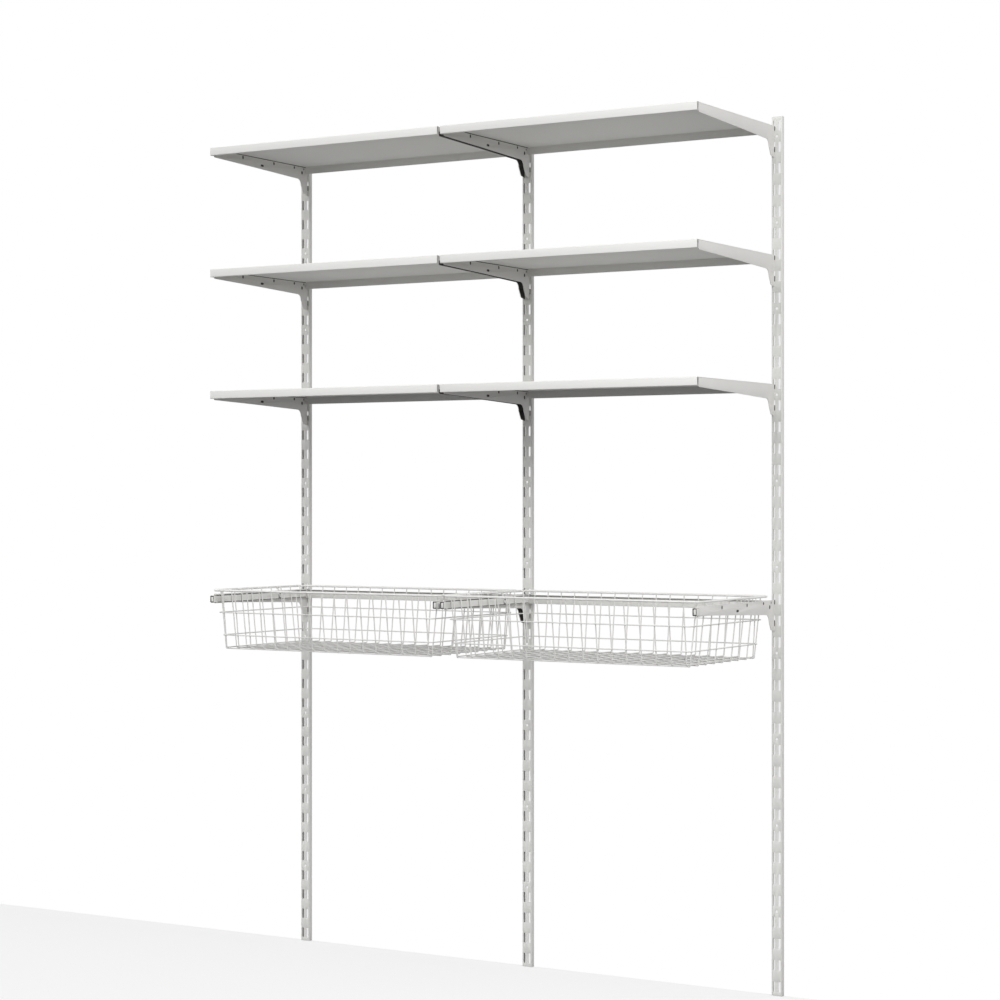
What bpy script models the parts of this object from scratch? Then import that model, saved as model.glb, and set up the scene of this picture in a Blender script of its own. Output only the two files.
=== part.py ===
# Wall-hung laundry storage unit: three slotted uprights, folded steel shelves on hooked
# brackets, and two wire baskets that pull out over runner frames. All of it is white steel.
# Metres, +Z up, +X to the right along the wall. The wall is the plane Y = 0 and the front faces -Y.
# The origin is on the wall behind the middle upright, at its top screw hole.

import math

import bmesh
import bpy
from mathutils import Matrix, Vector

# The whole unit
bay_pitch = 0.6462
upright_height = 1.960
top_hole_drop = 0.044
gap = 0.0003

# Uprights
upright_width = 0.0255
upright_depth = 0.0115
upright_sheet = 0.0015
slot_count = 41
slot_pitch = 0.048
slot_height = 0.023
slot_width = 0.0053
slot_column_offset = 0.0067
end_margin = 0.0085
screw_hole_count = 10
screw_hole_pitch = 4 * slot_pitch
screw_hole_radius = 0.0028
punch_reach = 0.004

# Levels, counted in slots from the top of the uprights
shelf_levels = {"top": 0, "middle": 6, "lower": 12}
basket_level = 22

# Brackets, each one flat plate, by the distance from the wall and the height under its top edge
bracket_drop_in_slot = 0.0131
bracket_sheet = 0.0015
bracket_reach = 0.3885
bracket_tip_height = 0.0200
bracket_tip_round = 0.005
bracket_mid_reach = 0.231
bracket_mid_height = 0.0252
bracket_root_height = 0.0320
gusset_fillet_radius = 0.014
gusset_front = 0.039
gusset_foot_front = 0.028
gusset_foot_height = 0.0665
gusset_height = 0.0700
hook_neck_height = 0.012
hook_reach = 0.0034
hook_taper = 0.0008
hook_fall = 0.0075

# Shelves
shelf_width = 0.6379
shelf_front = 0.400
shelf_back = 0.0195
shelf_sheet = 0.0008
shelf_flange = 0.0185
shelf_hem = 0.0075

# Runner frames under the baskets, by the distance from the nearer upright's centre line
rail_outer = 0.0077
rail_inner = 0.0150
rail_sheet = 0.0010
rail_top_drop = 0.0033
rail_height = 0.0185
rail_front = 0.3891
rail_back = 0.0210
rail_step = 0.256
rail_step_length = 0.008
rail_slot_height = 0.009
rail_slot_width = 0.004
head_front = 0.400
head_outer = 0.0035
head_inner = 0.0170
bar_depth = 0.0085
glide_from_wall = 0.138
glide_length = 0.0052
glide_wall = 0.0012
glide_under_rim = 0.0046
glide_drop = 0.0100

# Baskets, by the centre lines of their wires
wire_radius = 0.00125
rim_radius = 0.0025
rim_half_width = 0.3172
rim_front = 0.3960
rim_back = 0.0385
rim_corner = 0.019
rim_above_bracket = 0.0089
wall_half_width_top = 0.3056
wall_half_width_bottom = 0.2900
wall_front_bottom = 0.3797
wall_back_bottom = 0.0538
basket_height = 0.1415
knee = 0.0035
lengthwise_count = 17
lengthwise_pitch = 0.0356
crosswise_count = 9
crosswise_pitch = 0.0395
ring_corner = 0.012
upper_ring_drop = 0.0520
lower_ring_drop = 0.1055
weld_sink = 0.00025

# Places that follow from the driving dimensions
upright_bottom = top_hole_drop - upright_height
first_slot_top = top_hole_drop - end_margin
upright_places = {"left": -bay_pitch, "middle": 0.0, "right": bay_pitch}
bay_centres = {"left": -bay_pitch / 2, "right": bay_pitch / 2}
sides = {"left": -1, "right": 1}
face_front = upright_depth + gap
face_back = upright_depth - upright_sheet - gap


def bracket_top(level):
    return first_slot_top - level * slot_pitch - bracket_drop_in_slot


def clear_scene():
    for thing in list(bpy.data.objects):
        bpy.data.objects.remove(thing, do_unlink=True)


def new_collection(name):
    collection = bpy.data.collections.new(name)
    bpy.context.scene.collection.children.link(collection)
    return collection


def make_material(name, colour, roughness):
    material = bpy.data.materials.new(name)
    material.use_nodes = True
    shader = material.node_tree.nodes["Principled BSDF"]
    shader.inputs["Base Color"].default_value = (*colour, 1.0)
    shader.inputs["Roughness"].default_value = roughness
    shader.inputs["Metallic"].default_value = 0.0
    return material


def add_object(name, data, collection, material=None):
    thing = bpy.data.objects.new(name, data)
    collection.objects.link(thing)
    if material:
        data.materials.append(material)
    return thing


def add_mesh(name, mesh, collection, material=None):
    data = bpy.data.meshes.new(name)
    mesh.to_mesh(data)
    mesh.free()
    return add_object(name, data, collection, material)


def evaluated_mesh(thing):
    bpy.context.view_layer.update()
    graph = bpy.context.evaluated_depsgraph_get()
    return bpy.data.meshes.new_from_object(thing.evaluated_get(graph))


def add_box(mesh, low, high):
    low = Vector(low)
    high = Vector(high)
    place = Matrix.Translation((low + high) / 2) @ Matrix.Diagonal((*(high - low), 1.0))
    bmesh.ops.create_cube(mesh, size=1.0, matrix=place)


def box_object(name, boxes, collection):
    mesh = bmesh.new()
    for low, high in boxes:
        add_box(mesh, low, high)
    return add_mesh(name, mesh, collection)


def join_or_cut(thing, other, operation):
    boolean = thing.modifiers.new(operation.title(), "BOOLEAN")
    boolean.operation = operation
    boolean.solver = "EXACT"
    boolean.object = other
    other.parent = thing
    other.hide_render = True
    other.display_type = "WIRE"


def sweep_profile(profile, moves):
    # An open folded profile, drawn as edges and extruded through each move in turn
    mesh = bmesh.new()
    row = [mesh.verts.new(point) for point in profile]
    edges = [mesh.edges.new(pair) for pair in zip(row, row[1:])]
    for move in moves:
        made = bmesh.ops.extrude_edge_only(mesh, edges=edges)["geom"]
        row = [part for part in made if isinstance(part, bmesh.types.BMVert)]
        edges = [part for part in made if isinstance(part, bmesh.types.BMEdge)]
        bmesh.ops.translate(mesh, verts=row, vec=move)
    bmesh.ops.recalc_face_normals(mesh, faces=mesh.faces)
    return mesh


def add_sheet(name, mesh, thickness, collection, material=None):
    # The mesh is the sheet's middle surface
    thing = add_mesh(name, mesh, collection, material)
    solid = thing.modifiers.new("Sheet", "SOLIDIFY")
    solid.thickness = thickness
    solid.offset = 0.0
    solid.use_even_offset = True
    return thing


def arc_points(centre, radius, start, end, steps):
    # Points of a flat arc, from one angle to another in degrees
    points = []
    for step in range(steps + 1):
        angle = math.radians(start + (end - start) * step / steps)
        points.append((centre[0] + radius * math.cos(angle), centre[1] + radius * math.sin(angle)))
    return points


def add_spline(curve, points, cyclic):
    spline = curve.splines.new("POLY")
    spline.points.add(len(points) - 1)
    for target, point in zip(spline.points, points):
        target.co = (*point, *[0.0] * (3 - len(point)), 1.0)
    spline.use_cyclic_u = cyclic


def plate_curve(name, outlines, thickness):
    # A flat plate: the first outline is its edge, and the others are holes in it
    curve = bpy.data.curves.new(name, "CURVE")
    curve.dimensions = "2D"
    curve.fill_mode = "BOTH"
    curve.extrude = thickness / 2
    for outline in outlines:
        add_spline(curve, outline, True)
    return curve


def stand_plate(thing, x, y, z):
    # Turns a plate that is drawn flat so that its first axis leaves the wall and its second is up
    thing.location = (x, y, z)
    thing.rotation_euler = (math.pi / 2, 0.0, -math.pi / 2)


def upright_mesh(cutters):
    # A channel that is open to the wall, punched with two columns of slots and a row of screw holes
    half = (upright_width - upright_sheet) / 2
    face = -upright_depth + upright_sheet / 2
    profile = [
        (-half, 0.0, upright_bottom),
        (-half, face, upright_bottom),
        (half, face, upright_bottom),
        (half, 0.0, upright_bottom),
    ]
    mesh = sweep_profile(profile, [(0.0, 0.0, upright_height)])
    channel = add_sheet("upright_channel", mesh, upright_sheet, cutters)
    punches = bmesh.new()
    front = -upright_depth - punch_reach
    back = -upright_depth + upright_sheet + punch_reach
    for side in sides.values():
        middle = side * slot_column_offset
        for slot in range(slot_count):
            top = first_slot_top - slot * slot_pitch
            low = (middle - slot_width / 2, front, top - slot_height)
            high = (middle + slot_width / 2, back, top)
            add_box(punches, low, high)
    for hole in range(screw_hole_count):
        place = Matrix.Translation((0.0, (front + back) / 2, -hole * screw_hole_pitch))
        bmesh.ops.create_cone(
            punches,
            cap_ends=True,
            segments=6,
            radius1=screw_hole_radius,
            radius2=screw_hole_radius,
            depth=back - front,
            matrix=place @ Matrix.Rotation(math.pi / 2, 4, "X"),
        )
    cutter = add_mesh("upright_punches", punches, cutters)
    join_or_cut(channel, cutter, "DIFFERENCE")
    data = evaluated_mesh(channel)
    data.name = "upright"
    bpy.data.objects.remove(channel)
    bpy.data.objects.remove(cutter)
    return data


def oblong(centre, length, width):
    # A six-sided punched hole, a hexagon stretched up the plate, or along it if it is wider
    shoulder = abs(length - width / 2) / 2
    half = length / 2
    ring = [(0.0, half), (-width / 2, shoulder), (-width / 2, -shoulder)]
    ring += [(-u, -v) for u, v in ring]
    return [(centre[0] + u, centre[1] + v) for u, v in ring]


def hook_points(neck_top, neck_bottom):
    # A hook that passes through a slot and falls behind the upright's face
    return [
        (face_front, neck_bottom),
        (face_back, neck_bottom),
        (face_back, neck_bottom - hook_fall),
        (face_back - hook_reach + hook_taper, neck_bottom - hook_fall),
        (face_back - hook_reach, neck_top),
    ]


def bracket_curve():
    # The arm, its gusset and the two hooks, drawn by the distance from the wall and the height
    neck_bottom = bracket_drop_in_slot - slot_height + gap
    lower_neck_bottom = neck_bottom - slot_pitch
    lower_neck_top = lower_neck_bottom + hook_neck_height
    fillet_centre = (gusset_front + gusset_fillet_radius, -bracket_root_height - gusset_fillet_radius)
    outline = [
        (bracket_reach, 0.0),
        (bracket_reach, -bracket_tip_height + bracket_tip_round),
        (bracket_reach - bracket_tip_round, -bracket_tip_height),
        (bracket_mid_reach, -bracket_mid_height),
    ]
    outline += arc_points(fillet_centre, gusset_fillet_radius, 90, 180, 3)
    outline += [(gusset_foot_front, -gusset_foot_height), (face_front, -gusset_height)]
    outline += hook_points(lower_neck_top, lower_neck_bottom)
    outline.append((face_front, lower_neck_top))
    outline += hook_points(0.0, neck_bottom)
    holes = [
        oblong((0.2702, -0.0080), 0.0080, 0.0032),
        oblong((0.1940, -0.0190), 0.0050, 0.0070),
        oblong((0.1480, -0.0070), 0.0055, 0.0042),
        oblong((0.0649, -0.0060), 0.0050, 0.0042),
        oblong((0.0250, -0.0075), 0.0060, 0.0042),
    ]
    return plate_curve("bracket", [outline, *holes], bracket_sheet)


def build_shelf(name, bay, level, parts, cutters, material):
    # One folded sheet: a deck, a front with its hem turned back under it, and a rear flange
    # that stops short of the brackets
    deck = bracket_top(level) + gap + shelf_sheet / 2
    low = deck + shelf_sheet / 2 - shelf_flange + shelf_sheet / 2
    left = -shelf_width / 2
    front = -shelf_front + shelf_sheet / 2
    back = -shelf_back - shelf_sheet / 2
    profile = [
        (left, -shelf_front + shelf_hem, low),
        (left, front, low),
        (left, front, deck),
        (left, back, deck),
        (left, back, low),
    ]
    mesh = sweep_profile(profile, [(shelf_width, 0.0, 0.0)])
    thing = add_sheet(name, mesh, shelf_sheet, parts, material)
    thing.location.x = bay_centres[bay]
    plate_inside = slot_column_offset + bracket_sheet / 2 + 2 * gap
    flange_half = bay_pitch / 2 - plate_inside
    notches = []
    for side in sides.values():
        near, far = sorted((side * flange_half, side * shelf_width))
        under_deck = bracket_top(level)
        notches.append(((near, back - 0.002, low - 0.01), (far, back + 0.002, under_deck)))
    join_or_cut(thing, box_object(name + "_notches", notches, cutters), "DIFFERENCE")


def build_runner(name, bay, side, parts, cutters, material):
    # A channel that is open upwards, with its outer wall raised in front to carry the rim,
    # and a wider hollow head in front of the bracket
    edge = side * bay_pitch / 2
    top = bracket_top(basket_level) - rail_top_drop
    bottom = top - rail_height
    outer = edge - side * (rail_outer + rail_sheet / 2)
    inner = edge - side * (rail_inner - rail_sheet / 2)
    rise = rim_above_bracket - rim_radius - gap + rail_top_drop
    floor = bottom + rail_sheet / 2
    profile = [
        (outer, -rail_back, top),
        (outer, -rail_back, floor),
        (inner, -rail_back, floor),
        (inner, -rail_back, top),
    ]
    moves = [
        (0.0, rail_back - rail_step, 0.0),
        (0.0, -rail_step_length, 0.0),
        (0.0, rail_step + rail_step_length - rail_front - rail_sheet / 2, 0.0),
    ]
    mesh = sweep_profile(profile, moves)
    for vert in mesh.verts:
        raised = vert.co.y < -rail_step - rail_step_length / 2
        if raised and vert.co.z > floor + rail_sheet and abs(vert.co.x - outer) < rail_sheet:
            vert.co.z += rise
    thing = add_sheet(name, mesh, rail_sheet, parts, material)
    low_x, high_x = sorted((edge - side * head_outer, edge - side * head_inner))
    head = box_object(
        name + "_head", [((low_x, -head_front, bottom), (high_x, -rail_front, top))], cutters
    )
    recess_low = (low_x + rail_sheet, -head_front - punch_reach, bottom + rail_sheet)
    recess_high = (high_x - rail_sheet, -rail_front - rail_sheet, top - rail_sheet)
    middle = (top + bottom) / 2
    slot_low = (inner - rail_sheet, -glide_from_wall - rail_slot_width / 2, middle - rail_slot_height / 2)
    slot_high = (inner + rail_sheet, -glide_from_wall + rail_slot_width / 2, middle + rail_slot_height / 2)
    punches = [(recess_low, recess_high), (slot_low, slot_high)]
    punch = box_object(name + "_punches", punches, cutters)
    join_or_cut(thing, head, "UNION")
    join_or_cut(thing, punch, "DIFFERENCE")
    thing.location.x = bay_centres[bay]


def build_glide(name, bay, side, parts, material):
    # A small guide: its leg clips in the runner and its arm reaches out under the basket's rim
    edge = side * bay_pitch / 2
    bracket = bracket_top(basket_level)
    crown = rim_above_bracket - rim_radius - gap
    leg_outer = rail_outer + rail_sheet + gap
    leg_inner = leg_outer + glide_wall
    outline = [
        (leg_inner, -glide_drop),
        (leg_inner, crown - glide_wall),
        (leg_outer, crown),
        (glide_under_rim, crown),
        (glide_under_rim, crown - 2 * glide_wall),
        (leg_outer, crown - 2 * glide_wall),
        (leg_outer, -glide_drop),
    ]
    points = [(edge - side * u, v) for u, v in outline]
    if side < 0:
        points.reverse()
    curve = plate_curve(name, [points], glide_length)
    thing = add_object(name, curve, parts, material)
    thing.location = (bay_centres[bay], -glide_from_wall, bracket)
    thing.rotation_euler.x = math.pi / 2


def build_rear_bar(name, bay, parts, material):
    # The bar that joins the two runners near the wall, open upwards like them
    half = bay_pitch / 2 - rail_inner - gap
    top = bracket_top(basket_level) - rail_top_drop
    low = top - rail_height + rail_sheet / 2
    back = -rail_back - rail_sheet / 2
    front = -rail_back - bar_depth + rail_sheet / 2
    profile = [(-half, front, top), (-half, front, low), (-half, back, low), (-half, back, top)]
    mesh = sweep_profile(profile, [(2 * half, 0.0, 0.0)])
    thing = add_sheet(name, mesh, rail_sheet, parts, material)
    thing.location.x = bay_centres[bay]


def wire_mesh(name, points, radius, edges, cyclic, cutters):
    # A wire is a curve with a round bevel, made a mesh so that wires can be welded
    curve = bpy.data.curves.new(name, "CURVE")
    curve.dimensions = "3D"
    curve.fill_mode = "FULL"
    curve.bevel_depth = radius
    curve.bevel_resolution = (edges - 4) // 2
    curve.use_fill_caps = not cyclic
    add_spline(curve, points, cyclic)
    wire = add_object(name, curve, cutters)
    data = evaluated_mesh(wire)
    bpy.data.objects.remove(wire)
    mesh = bmesh.new()
    mesh.from_mesh(data)
    bmesh.ops.remove_doubles(mesh, verts=mesh.verts, dist=1e-6)
    bmesh.ops.recalc_face_normals(mesh, faces=mesh.faces)
    mesh.to_mesh(data)
    mesh.free()
    return data


def weld_wires(name, carrier, wires, parts, cutters, material):
    # Welds a row of wires to the wire that carries them, as one body
    data = wire_mesh(name, carrier, wire_radius, 4, False, cutters)
    thing = add_object(name, data, parts, material)
    row = bmesh.new()
    for points in wires:
        row.from_mesh(wire_mesh(name + "_wire", points, wire_radius, 4, False, cutters))
    other = add_mesh(name + "_row", row, cutters)
    join_or_cut(thing, other, "UNION")
    return thing


def loop_points(half_width, front, back, corner, z, steps):
    # A closed rectangle with round corners, at one height
    corners = [
        (half_width - corner, -back - corner),
        (-half_width + corner, -back - corner),
        (-half_width + corner, -front + corner),
        (half_width - corner, -front + corner),
    ]
    points = []
    for turn, centre in enumerate(corners):
        for x, y in arc_points(centre, corner, 90 * turn, 90 * turn + 90, steps):
            points.append((x, y, z))
    return points


def between(start, end, share):
    return start + (end - start) * share


def build_basket(bay, parts, cutters, material):
    # Eight welded pieces: the rim, a ring round the walls, four walls and the floor's two layers
    name = bay + "_basket"
    rim_z = bracket_top(basket_level) + rim_above_bracket
    crosswise_z = rim_z + rim_radius - basket_height + wire_radius
    lengthwise_z = crosswise_z + 2 * wire_radius + gap
    beside = 2 * wire_radius + gap
    welded = 2 * wire_radius - weld_sink
    wire_top = rim_z - rim_radius - gap
    upper_z = rim_z - upper_ring_drop
    lower_z = rim_z - lower_ring_drop
    first_x = -(lengthwise_count - 1) / 2 * lengthwise_pitch
    lengthwise_x = [first_x + i * lengthwise_pitch for i in range(lengthwise_count)]
    middle_y = -(wall_front_bottom + wall_back_bottom) / 2
    first_y = middle_y - (crosswise_count - 1) / 2 * crosswise_pitch
    crosswise_y = [first_y + i * crosswise_pitch for i in range(crosswise_count)]

    # The walls lean in as they fall from the rim to the floor's wires
    def end_wall(z, top, bottom):
        return between(top, bottom, (rim_z - z) / (rim_z - lengthwise_z - knee))

    def side_wall(z):
        share = (rim_z - z) / (rim_z - crosswise_z - knee)
        return between(wall_half_width_top, wall_half_width_bottom, share)

    rim = loop_points(rim_half_width, rim_front, rim_back, rim_corner, rim_z, 3)
    rim_data = wire_mesh(name + "_rim", rim, rim_radius, 6, True, cutters)
    pieces = [add_object(name + "_rim", rim_data, parts, material)]

    ring = loop_points(
        side_wall(lower_z) + beside,
        end_wall(lower_z, rim_front, wall_front_bottom) + beside,
        end_wall(lower_z, rim_back, wall_back_bottom) - beside,
        ring_corner,
        lower_z,
        2,
    )
    ring_data = wire_mesh(name + "_lower_ring", ring, wire_radius, 4, True, cutters)
    pieces.append(add_object(name + "_lower_ring", ring_data, parts, material))

    half = side_wall(upper_z) + welded
    walls = {"front": (-1, rim_front, wall_front_bottom), "rear": (1, rim_back, wall_back_bottom)}
    for word, (side, top, bottom) in walls.items():
        wires = []
        for x in lengthwise_x:
            high = (x, -end_wall(wire_top, top, bottom), wire_top)
            low = (x, -bottom, lengthwise_z + knee)
            wires.append([high, low, (x, -bottom - side * knee, lengthwise_z)])
        y = -end_wall(upper_z, top, bottom) + side * welded
        bend = arc_points((half - ring_corner, -ring_corner), ring_corner, 0, 90, 2)
        carrier = [(u, y + side * v, upper_z) for u, v in bend]
        carrier += [(-px, py, pz) for px, py, pz in reversed(carrier)]
        wall = f"{name}_{word}_wires"
        pieces.append(weld_wires(wall, carrier, wires, parts, cutters, material))

    reach = ring_corner - welded + wire_radius / 2 + gap
    start = -end_wall(upper_z, rim_front, wall_front_bottom) + reach
    end = -end_wall(upper_z, rim_back, wall_back_bottom) - reach
    for word, side in sides.items():
        wires = []
        for y in crosswise_y:
            wires.append(
                [
                    (side * (rim_half_width - rim_radius - gap), y, rim_z),
                    (side * wall_half_width_top, y, rim_z),
                    (side * wall_half_width_bottom, y, crosswise_z + knee),
                    (side * (wall_half_width_bottom - knee), y, crosswise_z),
                ]
            )
        carrier = [(side * half, start, upper_z), (side * half, end, upper_z)]
        wall = f"{name}_{word}_wires"
        pieces.append(weld_wires(wall, carrier, wires, parts, cutters, material))

    # The floor's wires from front to back lie on the wires from side to side. One wire of each
    # layer is set towards the other layer, where it is welded to all the wires that it crosses.
    inset = knee + wire_radius * math.sin(math.pi / 4) + gap
    floor_front = -wall_front_bottom + inset
    floor_back = -wall_back_bottom - inset
    floor_half = wall_half_width_bottom - inset
    split_x = lengthwise_x[lengthwise_count // 2]
    split_y = (crosswise_y[0] + crosswise_y[1]) / 2
    wires = []
    for x in lengthwise_x:
        stop = split_y - gap if x == split_x else floor_back
        wires.append([(x, floor_front, lengthwise_z), (x, stop, lengthwise_z)])
    z = lengthwise_z - welded
    carrier = [(-floor_half, crosswise_y[0], z), (floor_half, crosswise_y[0], z)]
    pieces.append(weld_wires(name + "_long_floor_wires", carrier, wires, parts, cutters, material))
    wires = [[(-floor_half, y, crosswise_z), (floor_half, y, crosswise_z)] for y in crosswise_y[1:]]
    z = crosswise_z + welded
    carrier = [(split_x, split_y, z), (split_x, floor_back, z)]
    pieces.append(weld_wires(name + "_cross_floor_wires", carrier, wires, parts, cutters, material))

    slide = bpy.data.objects.new(name + "_slide", None)
    parts.objects.link(slide)
    slide.location.x = bay_centres[bay]
    for piece in pieces:
        piece.parent = slide


def main():
    clear_scene()
    parts = new_collection("laundry_storage_unit")
    cutters = new_collection("cutters")
    steel_white = make_material("steel_white", (0.78, 0.78, 0.77), 0.45)
    shelf_white = make_material("shelf_white", (0.82, 0.82, 0.81), 0.40)
    wire_white = make_material("wire_white", (0.80, 0.80, 0.79), 0.40)
    glide_white = make_material("glide_white", (0.86, 0.86, 0.85), 0.35)

    channel = upright_mesh(cutters)
    channel.materials.append(steel_white)
    for word, x in upright_places.items():
        upright = add_object(word + "_upright", channel, parts)
        upright.location.x = x

    plate = bracket_curve()
    plate.materials.append(steel_white)
    for bay, centre in bay_centres.items():
        for level_name, level in {**shelf_levels, "basket": basket_level}.items():
            for word, side in sides.items():
                bracket = add_object(f"{bay}_bay_{level_name}_{word}_bracket", plate, parts)
                x = centre + side * (bay_pitch / 2 - slot_column_offset)
                stand_plate(bracket, x, 0.0, bracket_top(level))

    for bay in bay_centres:
        for level_name, level in shelf_levels.items():
            build_shelf(f"{bay}_bay_{level_name}_shelf", bay, level, parts, cutters, shelf_white)
        for word, side in sides.items():
            build_runner(f"{bay}_bay_{word}_runner", bay, side, parts, cutters, steel_white)
            build_glide(f"{bay}_bay_{word}_glide", bay, side, parts, glide_white)
        build_rear_bar(f"{bay}_bay_rear_bar", bay, parts, steel_white)
        build_basket(bay, parts, cutters, wire_white)


main()
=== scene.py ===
# Looks of the wall-hung laundry storage unit: white powder-coated uprights, brackets and shelves,
# and two coated wire baskets on their runners. Metres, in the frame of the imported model.
import math

import bmesh
import bpy
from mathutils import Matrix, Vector


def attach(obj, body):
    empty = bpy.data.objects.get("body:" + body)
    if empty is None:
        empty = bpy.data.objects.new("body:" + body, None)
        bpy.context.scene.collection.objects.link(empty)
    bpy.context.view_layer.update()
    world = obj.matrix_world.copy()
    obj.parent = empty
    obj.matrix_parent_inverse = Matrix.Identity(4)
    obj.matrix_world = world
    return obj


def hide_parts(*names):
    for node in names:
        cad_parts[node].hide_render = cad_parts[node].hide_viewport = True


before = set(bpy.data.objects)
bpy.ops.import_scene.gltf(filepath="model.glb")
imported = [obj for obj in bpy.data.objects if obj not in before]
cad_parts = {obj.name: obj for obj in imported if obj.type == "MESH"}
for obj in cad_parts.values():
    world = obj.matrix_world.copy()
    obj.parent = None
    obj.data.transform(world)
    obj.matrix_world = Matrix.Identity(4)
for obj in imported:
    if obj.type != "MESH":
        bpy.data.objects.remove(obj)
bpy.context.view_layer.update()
print("frame loaded:", len(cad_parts), "nodes")

bays = {"left": -1, "right": 1}
sides = {"left": -1, "right": 1}
unit = {
    "bayPitch": 0.6462,
    "top": 0.044,
    "bottom": -1.916,
    "firstSlotTop": 0.0355,
    "slotPitch": 0.048,
    "bracketDrop": 0.0131,
    "gap": 0.0003,
}
levels = {"top": 0, "middle": 6, "lower": 12, "basket": 22}
uprightPlaces = {"left": -1, "middle": 0, "right": 1}
straight = 0.9  # a face looks along an axis when its normal does, at least by this share
spare = 0.001  # how far a cutter reaches past what it cuts


def bracketTop(level):
    return unit["firstSlotTop"] - level * unit["slotPitch"] - unit["bracketDrop"]


# Small helpers for working by hand

def clearSelection():
    bpy.ops.object.select_all(action="DESELECT")


def makeActive(piece):
    clearSelection()
    piece.select_set(True)
    bpy.context.view_layer.objects.active = piece


def settle(piece):
    makeActive(piece)
    bpy.ops.object.transform_apply(location=True, rotation=True, scale=True)


def addBlock(name, low, high):
    middle = (Vector(low) + Vector(high)) / 2
    clearSelection()
    bpy.ops.mesh.primitive_cube_add(size=1, location=middle, scale=Vector(high) - Vector(low))
    block = bpy.context.object
    block.name = name
    settle(block)
    return block


def addPin(name, middle, radius, depth, turn, edges=24):
    clearSelection()
    bpy.ops.mesh.primitive_cylinder_add(vertices=edges, radius=radius, depth=depth,
                                        location=middle, rotation=turn)
    pin = bpy.context.object
    pin.name = name
    settle(pin)
    return pin


def openEdit(piece):
    makeActive(piece)
    bpy.ops.object.mode_set(mode="EDIT")


def closeEdit():
    bpy.ops.object.mode_set(mode="OBJECT")


def middleOf(item):
    if isinstance(item, bmesh.types.BMVert):
        return item.co
    return sum((vert.co for vert in item.verts), Vector()) / len(item.verts)


def pick(piece, kind, test):
    bpy.ops.mesh.select_mode(type=kind)
    bpy.ops.mesh.select_all(action="DESELECT")
    mesh = bmesh.from_edit_mesh(piece.data)
    items = {"VERT": mesh.verts, "EDGE": mesh.edges, "FACE": mesh.faces}[kind]
    for item in items:
        if test(item):
            item.select_set(True)
    bmesh.update_edit_mesh(piece.data)


def near(a, b, slack=0.00005):
    return abs(a - b) < slack


def alongAxis(edge, axis, share=0.99):
    line = edge.verts[1].co - edge.verts[0].co
    return abs(line[axis]) > share * line.length


# The next five work in an open piece: three on what is picked, two on the whole of it

def shift(x=0, y=0, z=0):
    bpy.ops.transform.translate(value=(x, y, z))


def drawOut(x=0, y=0, z=0):
    bpy.ops.mesh.extrude_region_move(TRANSFORM_OT_translate={"value": (x, y, z)})


def roundEdges(radius, steps):
    bpy.ops.mesh.bevel(offset=radius, segments=steps, affect="EDGES")


def scoreAcross(axis, distance):
    # A line of new edges round the whole piece, at a distance along the axis
    normal = Vector((0, 0, 0))
    normal[axis] = 1
    bpy.ops.mesh.select_all(action="SELECT")
    bpy.ops.mesh.bisect(plane_co=normal * distance, plane_no=normal)


def turnOutward():
    bpy.ops.mesh.select_all(action="SELECT")
    bpy.ops.mesh.normals_make_consistent(inside=False)


def stretchHole(hole, axis, centre, stretch, slack=0.0001):
    # A round cutter becomes a long one: its two halves move apart along the axis
    openEdit(hole)
    for way in (-1, 1):
        pick(hole, "VERT", lambda vert: way * (vert.co[axis] - centre) > slack)
        move = [0, 0, 0]
        move[axis] = way * stretch
        shift(*move)
    closeEdit()


def applyAll(piece):
    makeActive(piece)
    for modifier in list(piece.modifiers):
        bpy.ops.object.modifier_apply(modifier=modifier.name)


def giveThickness(piece, sheet):
    solid = piece.modifiers.new("Sheet", "SOLIDIFY")
    solid.thickness = sheet
    solid.offset = -1
    solid.use_even_offset = True
    applyAll(piece)


def repeat(piece, count, step):
    row = piece.modifiers.new("Row", "ARRAY")
    row.count = count
    row.use_relative_offset = False
    row.use_constant_offset = True
    row.constant_offset_displace = step
    applyAll(piece)


def punch(piece, cutter, operation="DIFFERENCE"):
    cut = piece.modifiers.new("Punch", "BOOLEAN")
    cut.operation = operation
    cut.solver = "EXACT"
    cut.object = cutter
    applyAll(piece)
    bpy.data.objects.remove(cutter)


def paintFaces(piece, outside, inside, test):
    # The faces that pass the test get the second finish, which in this script is always the painted shade
    if not piece.data.materials:
        piece.data.materials.append(outside)
        piece.data.materials.append(inside)
    openEdit(piece)
    pick(piece, "FACE", test)
    piece.active_material_index = 1
    bpy.ops.object.material_slot_assign()
    closeEdit()


def easeEdges(piece, width, segments=2, angle=50):
    ease = piece.modifiers.new("Ease", "BEVEL")
    ease.width = width
    ease.segments = segments
    ease.limit_method = "ANGLE"
    ease.angle_limit = math.radians(angle)
    ease.use_clamp_overlap = True
    applyAll(piece)


def smooth(piece, angle=35):
    makeActive(piece)
    bpy.ops.object.shade_smooth_by_angle(angle=math.radians(angle))


def joinPieces(name, pieces):
    makeActive(pieces[0])
    for piece in pieces:
        piece.select_set(True)
    bpy.ops.object.join()
    joined = bpy.context.object
    joined.name = name
    return joined


def copyPiece(source, name, move=(0, 0, 0), mirrored=False):
    makeActive(source)
    bpy.ops.object.duplicate(linked=False)
    twin = bpy.context.object
    twin.name = name
    if mirrored:
        twin.scale.x = -1
        settle(twin)
        openEdit(twin)
        turnOutward()
        closeEdit()
    twin.location = move
    settle(twin)
    return twin


def rideAndReplace(piece, node, body, finish):
    piece.name = node + "_look"
    piece.data.name = piece.name
    if not piece.data.materials:
        piece.data.materials.append(finish)
    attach(piece, body)
    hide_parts(node)


# Finishes: powder coat on sheet steel, a glossier dip coat on wire, and moulded nylon

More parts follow.
